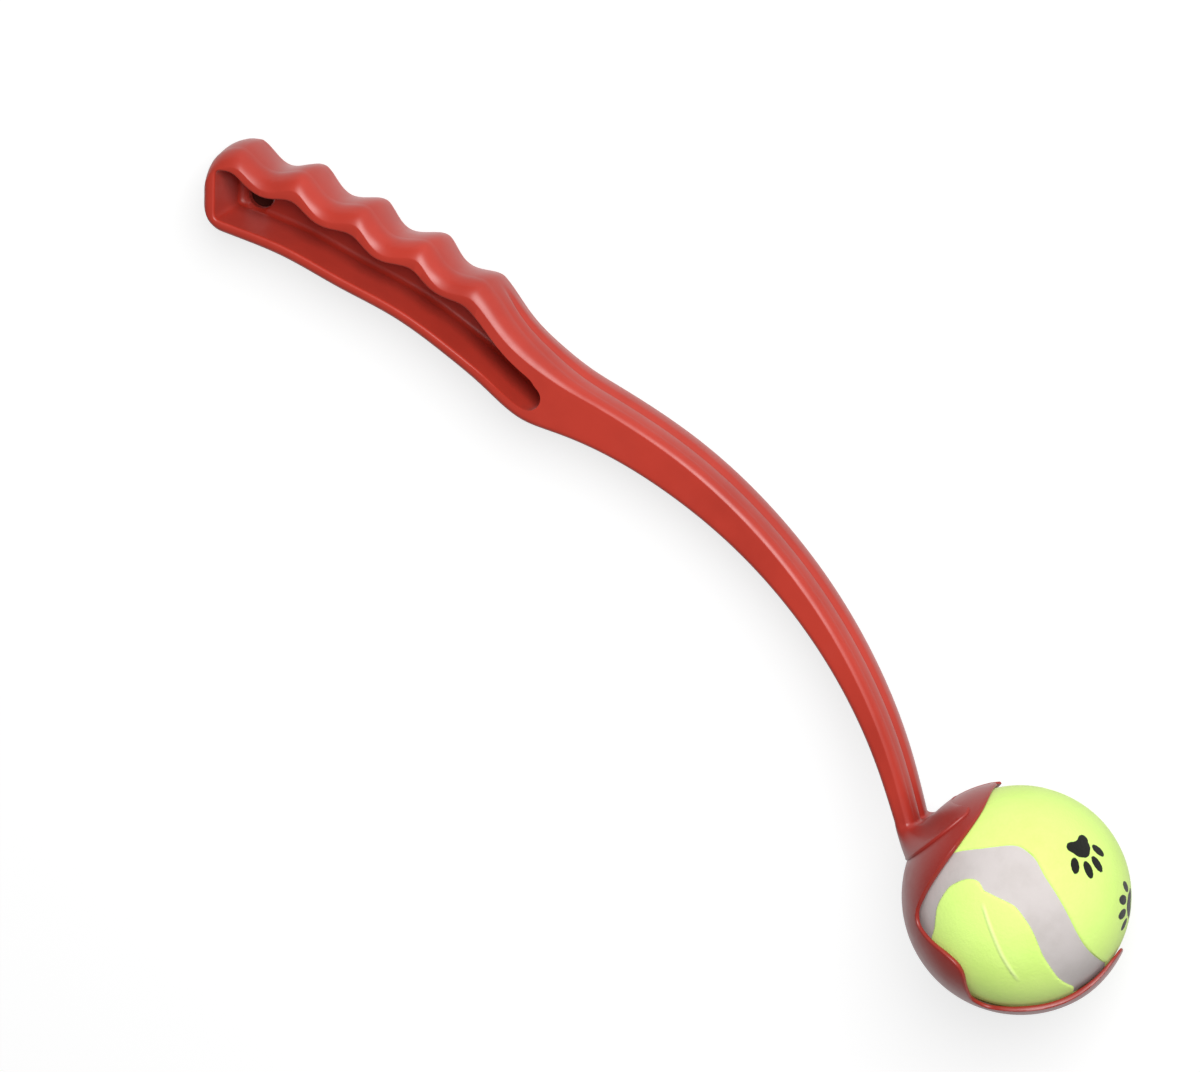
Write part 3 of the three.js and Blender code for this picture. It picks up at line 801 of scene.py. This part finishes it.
def makeCamera():
    lean, roll = math.radians(view["lean"]), math.radians(view["roll"])
    level, steep = math.cos(lean), math.sin(lean)
    right = np.array([math.sin(roll), level * math.cos(roll), -steep * math.cos(roll)])
    up = np.array([-math.cos(roll), level * math.sin(roll), -steep * math.sin(roll)])
    back = np.array([0, steep, level])
    across = view["frame"][0] / 2 - view["ballPixel"][0]
    upwards = view["ballPixel"][1] - view["frame"][1] / 2
    target = (right * across + up * upwards) * view["millimetresPerPixel"]
    distance = view["millimetresPerPixel"] * view["frame"][0] * view["lens"] / view["sensor"]
    camera = bpy.data.objects.new("camera", bpy.data.cameras.new("camera"))
    bpy.context.scene.collection.objects.link(camera)
    camera.data.lens = view["lens"]
    camera.data.sensor_width = view["sensor"]
    camera.data.clip_end = 20
    turn = Matrix(np.column_stack([turned(right), turned(up), turned(back)])).to_4x4()
    camera.matrix_world = Matrix.Translation(toGround(target + back * distance)) @ turn
    bpy.context.scene.camera = camera
    return right, up, back


pictureRight, pictureUp, pictureBack = makeCamera()
print("camera set")


# Paw prints on the felt: each corner's place on the nearest print, in millimetres
prints = {
    # two that the camera sees: right, up, and the turn of the toes
    "shown": [(0.545, 0.41, 204), (0.955, -0.07, 96)],
    "count": 7, "apart": 0.75, "fromSeam": 0.2, "reach": 12, "farOff": 99,
    "seed": 11, "tries": 3000,
}


def onBall(right, up):
    back = math.sqrt(max(1 - right**2 - up**2, 0))
    way = pictureRight * right + pictureUp * up + pictureBack * back
    return way / np.linalg.norm(way)


def printSpots():
    spots = [(onBall(right, up), turn) for right, up, turn in prints["shown"]]
    luck = random.Random(prints["seed"])
    for _ in range(prints["tries"]):
        way = np.array([luck.gauss(0, 1) for _ in range(3)])
        way /= np.linalg.norm(way)
        clear = sideOfSeam(way[None])[0][0] > prints["fromSeam"]
        alone = all(way @ spot < prints["apart"] for spot, _ in spots)
        if way @ pictureBack < 0 and clear and alone and len(spots) < prints["count"]:
            spots.append((way, luck.uniform(0, 360)))
    return spots


def markPrints(panel, spots):
    mesh = panel.data
    points = (np.array([v.co[:] for v in mesh.vertices]) - ballMiddle) @ lieTurn
    points /= np.linalg.norm(points, axis=1)[:, None]
    corners = np.empty(len(mesh.loops), int)
    mesh.loops.foreach_get("vertex_index", corners)
    starts, sizes = np.empty(len(mesh.polygons), int), np.empty(len(mesh.polygons), int)
    mesh.polygons.foreach_get("loop_start", starts)
    mesh.polygons.foreach_get("loop_total", sizes)
    middles = np.add.reduceat(points[corners], starts, axis=0) / sizes[:, None]
    ways = np.array([way for way, _ in spots])
    nearest = np.argmax(middles @ ways.T, axis=1)
    close = (middles * ways[nearest]).sum(1) > math.cos(prints["reach"] / ball["radius"])
    frames = []
    for way, turn in spots:
        first = np.cross(pictureUp, way)
        first /= np.linalg.norm(first)
        second = np.cross(way, first)
        c, s = math.cos(math.radians(turn)), math.sin(math.radians(turn))
        frames.append((first * c + second * s, second * c - first * s))
    frames = np.array(frames)[np.repeat(nearest, sizes)]
    places = (frames * points[corners][:, None, :]).sum(2) * ball["radius"]
    places[~np.repeat(close, sizes)] = prints["farOff"]
    layer = mesh.uv_layers.new(name="pawPlace")
    layer.data.foreach_set("uv", places.ravel())


pawSpots = printSpots()
markPrints(panelA, pawSpots)
markPrints(panelB, pawSpots)
print("paw prints", len(pawSpots))


# Shader maths: a value wraps a socket, and an expression on values adds its nodes

class Value:
    def __init__(self, sheet, socket):
        self.sheet, self.socket = sheet, socket

    def __add__(self, other):
        return self.sheet.maths("ADD", self, other)

    def __radd__(self, other):
        return self.sheet.maths("ADD", other, self)

    def __sub__(self, other):
        return self.sheet.maths("SUBTRACT", self, other)

    def __rsub__(self, other):
        return self.sheet.maths("SUBTRACT", other, self)

    def __mul__(self, other):
        return self.sheet.maths("MULTIPLY", self, other)


class Sheet:
    # one material's nodes
    def __init__(self, name):
        self.material = bpy.data.materials.new(name)
        self.material.use_nodes = True
        self.tree = self.material.node_tree
        self.tree.nodes.clear()

    def node(self, kind, settings=None, output=0, **inputs):
        made = self.tree.nodes.new(kind)
        for key, setting in (settings or {}).items():
            setattr(made, key, setting)
        for key, given in inputs.items():
            # i0 is the first input, and a word is the input's own name
            numbered = key[0] == "i" and key[1:].isdigit()
            self.feed(made.inputs[int(key[1:]) if numbered else key.replace("_", " ")], given)
        return Value(self, made.outputs[output])

    def feed(self, socket, given):
        if isinstance(given, Value):
            self.tree.links.new(given.socket, socket)
        elif given is not None:
            socket.default_value = given

    def maths(self, operation, first, second=None):
        return self.node("ShaderNodeMath", {"operation": operation}, i0=first, i1=second)

    def clamp(self, value):
        return self.node("ShaderNodeClamp", Value=value)

    def ramp(self, value, low, high):
        # 0 below low and 1 above high, with soft ends
        return self.node("ShaderNodeMapRange", {"interpolation_type": "SMOOTHSTEP"},
                         Value=value, From_Min=low, From_Max=high)

    def noise(self, place, scale, detail=3.0, roughness=0.55):
        return self.node("ShaderNodeTexNoise", Vector=place, Scale=scale, Detail=detail,
                         Roughness=roughness)

    def vector(self, operation, output, first, second=None):
        return self.node("ShaderNodeVectorMath", {"operation": operation}, output,
                         i0=first, i1=second)

    def stretch(self, place, scale, rotation=(0, 0, 0)):
        return self.node("ShaderNodeMapping", Vector=place, Scale=scale, Rotation=rotation)

    def mixColour(self, share, first, second):
        return self.node("ShaderNodeMix", {"data_type": "RGBA"}, 2, i0=share, i6=first, i7=second)

    def objectPlace(self):
        return self.node("ShaderNodeTexCoord", output=3)

    def bump(self, height, strength, distance, normal=None):
        return self.node("ShaderNodeBump", Strength=strength, Distance=distance, Height=height,
                         Normal=normal)

    def finish(self, uniform, **links):
        shader = self.tree.nodes.new("ShaderNodeBsdfPrincipled")
        for key, given in {**uniform, **links}.items():
            self.feed(shader.inputs[key.replace("_", " ")], given)
        out = self.tree.nodes.new("ShaderNodeOutputMaterial")
        self.tree.links.new(shader.outputs[0], out.inputs[0])
        return self.material


def fromPicture(red, green, blue):
    # a colour as a picture shows it, for a shader
    return tuple(((c / 255 + 0.055) / 1.055) ** 2.4 if c > 10 else c / 255 / 12.92
                 for c in (red, green, blue)) + (1,)


redPlastic = {
    "colour": fromPicture(188, 54, 38), "deep": fromPicture(176, 48, 33),
    # cupPaintedShade is painted shade for the cup, mixed in by cupPaintedShadeShare near the ball
    "cupPaintedShade": fromPicture(138, 33, 28), "cupPaintedShadeShare": 0.7,
    "roughness": 0.4, "roughnessSpread": 0.08, "coat": 0.05, "coatRoughness": 0.25, "veil": 0.1,
}


def makeRedPlastic():
    sheet = Sheet("redPlastic")
    place = sheet.objectPlace()
    cloud = sheet.noise(place, 28, 4, 0.6)
    fine = sheet.noise(place, 900, 2, 0.5)
    colour = sheet.mixColour(sheet.ramp(cloud, 0.35, 0.7), redPlastic["colour"], redPlastic["deep"])
    # painted shade: the colour turns a deeper red around the cup, for the shade on its sides turned
    # from the light
    fromBall = sheet.vector("DISTANCE", 1, place, tuple(ballMiddle))
    blend = (1 - sheet.ramp(fromBall, 0.034, 0.05)) * redPlastic["cupPaintedShadeShare"]
    colour = sheet.mixColour(blend, colour, redPlastic["cupPaintedShade"])
    # faint rubs along the launcher and a fine moulded skin
    rubs = sheet.noise(sheet.stretch(place, (60, 900, 900)), 1, 2, 0.5)
    haze = sheet.ramp(sheet.noise(place, 70, 5, 0.65), 0.45, 0.75)
    roughness = redPlastic["roughness"] + haze * redPlastic["roughnessSpread"] + (rubs - 0.5) * 0.05
    waves = sheet.noise(place, 120, 2, 0.4)
    normal = sheet.bump(waves, 0.12, 0.0004)
    normal = sheet.bump(fine + rubs * 0.3, 0.06, 0.0001, normal)
    uniform = {"Coat Weight": redPlastic["coat"], "Coat Roughness": redPlastic["coatRoughness"],
               "Sheen Weight": redPlastic["veil"], "Sheen Roughness": 0.4, "IOR": 1.5}
    return sheet.finish(uniform, Base_Color=colour, Roughness=roughness, Normal=normal)


felt = {
    "colour": fromPicture(218, 250, 134), "shade": fromPicture(204, 241, 116),
    # glow is painted light: the felt emits its own colour, which lifts its shaded side
    "ink": fromPicture(28, 30, 25), "roughness": 0.95, "glow": 0.13,
    "crease": [(-0.374, -0.063), (-0.068, -0.712)], "creaseHighlight": fromPicture(238, 255, 178),
}
paw = {
    "scale": 1.22, "fuzz": 0.3, "melt": 0.9,
    # ellipses: middle x and y, half width, half height, lean
    "pad": [(0, -1.4, 2.9, 2.2, 0), (-2, -2.7, 1.7, 1.4, 20), (2, -2.7, 1.7, 1.4, -20),
            (0, -0.2, 1.5, 1.3, 0)],
    "toes": [(-4.5, 1.2, 1.15, 2, 30), (-1.7, 3.7, 1.2, 2.2, 8), (1.7, 3.7, 1.2, 2.2, -8),
             (4.5, 1.2, 1.15, 2, -30)],
}


def pawInk(sheet, place):
    # 1 on the print and 0 off it
    spot = sheet.node("ShaderNodeUVMap", {"uv_map": "pawPlace"})

    def ellipse(x, y, wide, high, lean):
        scale = paw["scale"]
        moved = sheet.node("ShaderNodeMapping", {"vector_type": "TEXTURE"}, Vector=spot,
                           Location=(x * scale, y * scale, 0), Rotation=(0, 0, math.radians(lean)),
                           Scale=(wide * scale, high * scale, 1))
        return (sheet.vector("LENGTH", 1, moved) - 1) * (min(wide, high) * scale)

    pad = ellipse(*paw["pad"][0])
    for part in paw["pad"][1:]:
        pad = sheet.node("ShaderNodeMath", {"operation": "SMOOTH_MIN"}, i0=pad, i1=ellipse(*part),
                         i2=paw["melt"])
    for toe in paw["toes"]:
        pad = sheet.maths("MINIMUM", pad, ellipse(*toe))
    edge = pad + (sheet.noise(place, 1500, 2) - 0.5) * paw["fuzz"]
    return 1 - sheet.ramp(edge, -0.12, 0.12)


def feltCrease(sheet, place):
    # a faint fold across the panel: 1 on its line and 0 off it
    start, end = (onBall(*spot) for spot in felt["crease"])
    side, middle = np.cross(start, end), start + end
    side, middle = turned(side / np.linalg.norm(side)), turned(middle / np.linalg.norm(middle))
    away = sheet.vector("SUBTRACT", 0, place, tuple(ballMiddle))

    def dot(direction):
        return sheet.vector("DOT_PRODUCT", 1, away, tuple(direction)) * (1000 / ball["radius"])

    bend = (sheet.noise(place, 60, 1) - 0.5) * 0.03
    across = sheet.maths("ABSOLUTE", dot(side) + bend)
    return (1 - sheet.ramp(across, 0.002, 0.03)) * sheet.ramp(dot(middle), 0.9, 0.95)


def makeFelt():
    sheet = Sheet("ballFelt")
    place = sheet.objectPlace()
    ink, crease = pawInk(sheet, place), feltCrease(sheet, place)
    cloud = sheet.noise(place, 45, 4, 0.6)
    nap = sheet.noise(place, 900, 3, 0.7)
    strands = sheet.noise(sheet.stretch(place, (2600, 500, 900), (0.4, 0.9, 0.2)), 1, 3, 0.6)
    shade = sheet.clamp(sheet.ramp(cloud, 0.4, 0.75) * 0.5 + (nap - 0.5) * 0.5)
    colour = sheet.mixColour(shade, felt["colour"], felt["shade"])
    # painted highlight: the fold's line is lightened; the bump further down is the real fold
    colour = sheet.mixColour(crease * 0.55, colour, felt["creaseHighlight"])
    colour = sheet.mixColour(ink, colour, felt["ink"])
    normal = sheet.bump(crease, 0.5, 0.0006)
    normal = sheet.bump(nap + strands * 0.6, 0.35, 0.0004, normal)
    # painted light: the felt glows with its own colour at strength glow
    uniform = {"Roughness": felt["roughness"], "Sheen Weight": 0.2, "Sheen Roughness": 0.5,
               "Specular IOR Level": 0.2, "Emission Strength": felt["glow"]}
    return sheet.finish(uniform, Base_Color=colour, Emission_Color=colour, Normal=normal)


seam = {"colour": fromPicture(197, 190, 188), "edge": fromPicture(188, 181, 178),
        # glow is painted light: the seam emits its own colour, which lifts its shaded parts
        "roughness": 0.75, "glow": 0.12}
rubber = {"colour": fromPicture(58, 56, 54), "worn": fromPicture(72, 70, 67), "roughness": 0.85}


def makeSeamRubber():
    sheet = Sheet("seamRubber")
    place = sheet.objectPlace()
    cloud = sheet.noise(place, 90, 4, 0.6)
    colour = sheet.mixColour(sheet.ramp(cloud, 0.35, 0.75), seam["colour"], seam["edge"])
    normal = sheet.bump(sheet.noise(place, 260, 4, 0.6), 0.25, 0.0004)
    # painted light: the seam glows with its own colour at strength glow
    return sheet.finish({"Roughness": seam["roughness"], "Emission Strength": seam["glow"]},
                        Base_Color=colour, Emission_Color=colour, Normal=normal)


def makeRubber():
    sheet = Sheet("coreRubber")
    place = sheet.objectPlace()
    colour = sheet.mixColour(sheet.noise(place, 120, 3), rubber["colour"], rubber["worn"])
    normal = sheet.bump(sheet.noise(place, 500, 3), 0.3, 0.0003)
    return sheet.finish({"Roughness": rubber["roughness"]}, Base_Color=colour, Normal=normal)


def dress(thing, material):
    thing.data.materials.clear()
    thing.data.materials.append(material)


dress(launcher, makeRedPlastic())
feltMaterial = makeFelt()
dress(panelA, feltMaterial)
dress(panelB, feltMaterial)
dress(seamBand, makeSeamRubber())
rubberMaterial = makeRubber()
for node in ("rubber_core_a", "rubber_core_b"):
    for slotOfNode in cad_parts[node].material_slots:
        slotOfNode.material = rubberMaterial
print("materials made")


# Floor and studio light
studio = {"floorHalf": 6, "floorShade": (0.42, 0.42, 0.42, 1), "floorLift": 0.72,
          # holePaintedShadow is painted shadow, the colour of the spot on the floor seen through
          # the hang hole
          "holePaintedShadow": (0.09, 0.018, 0.014, 1), "holeInner": 0.005, "holeOuter": 0.006,
          "worldStrength": 0.22, "keyPower": 35, "keySize": 1, "keyDistance": 1.8,
          "keyAside": 0.1, "keyUp": 0.2}


def makeFloor():
    half = studio["floorHalf"]
    level = min(0, cadBox[0][2])
    floor = makeObject("floor", [(-half, -half, level), (half, -half, level), (half, half, level),
                                 (-half, half, level)], [(0, 1, 2, 3)])
    sheet = Sheet("paleFloor")
    cameraRay = sheet.node("ShaderNodeLightPath", output=0)
    glossyRay = sheet.node("ShaderNodeLightPath", output=3)
    # lifted to white where it is seen, except for a spot of painted shadow: dark red and unlifted
    # where the camera's line through the hang hole meets the floor
    underHole = toGround([*hangHoleSpot(), -handle["width"] / 2])
    sight = turned(pictureBack)
    seen = underHole - sight * (underHole[2] - level) / sight[2]
    away = sheet.vector("DISTANCE", 1, sheet.objectPlace(), tuple(seen))
    openFloor = sheet.ramp(away, studio["holeInner"], studio["holeOuter"])
    # painted shadow: the spot takes the dark colour
    colour = sheet.mixColour(openFloor, studio["holePaintedShadow"], studio["floorShade"])
    lift = sheet.maths("MAXIMUM", cameraRay, glossyRay) * openFloor * studio["floorLift"]
    uniform = {"Roughness": 1, "Specular IOR Level": 0, "Emission Color": (1, 1, 1, 1)}
    dress(floor, sheet.finish(uniform, Base_Color=colour, Emission_Strength=lift))


def makeWorld():
    # soft light all round, and plain white where the camera looks past the floor
    world = bpy.data.worlds.new("studio")
    bpy.context.scene.world = world
    world.use_nodes = True
    tree = world.node_tree
    tree.nodes.clear()
    lightPath = tree.nodes.new("ShaderNodeLightPath")
    soft = tree.nodes.new("ShaderNodeBackground")
    soft.inputs["Strength"].default_value = studio["worldStrength"]
    soft.inputs["Color"].default_value = (1, 1, 1, 1)
    white = tree.nodes.new("ShaderNodeBackground")
    white.inputs["Strength"].default_value = 1
    mix = tree.nodes.new("ShaderNodeMixShader")
    out = tree.nodes.new("ShaderNodeOutputWorld")
    tree.links.new(lightPath.outputs["Is Camera Ray"], mix.inputs[0])
    tree.links.new(soft.outputs[0], mix.inputs[1])
    tree.links.new(white.outputs[0], mix.inputs[2])
    tree.links.new(mix.outputs[0], out.inputs[0])


def makeKeyLight():
    # a large soft disk near the camera's own line of sight
    direction = pictureBack + pictureUp * studio["keyUp"] + pictureRight * studio["keyAside"]
    direction = turned(direction / np.linalg.norm(direction))
    light = bpy.data.lights.new("key", "AREA")
    light.shape = "DISK"
    light.size = studio["keySize"]
    light.energy = studio["keyPower"]
    key = bpy.data.objects.new("key", light)
    bpy.context.scene.collection.objects.link(key)
    key.location = Vector(direction) * studio["keyDistance"]
    key.rotation_mode = "QUATERNION"
    key.rotation_quaternion = Vector(direction).to_track_quat("Z", "Y")


makeFloor()
makeWorld()
makeKeyLight()
bpy.context.scene.view_settings.view_transform = "Standard"
print("studio lit")
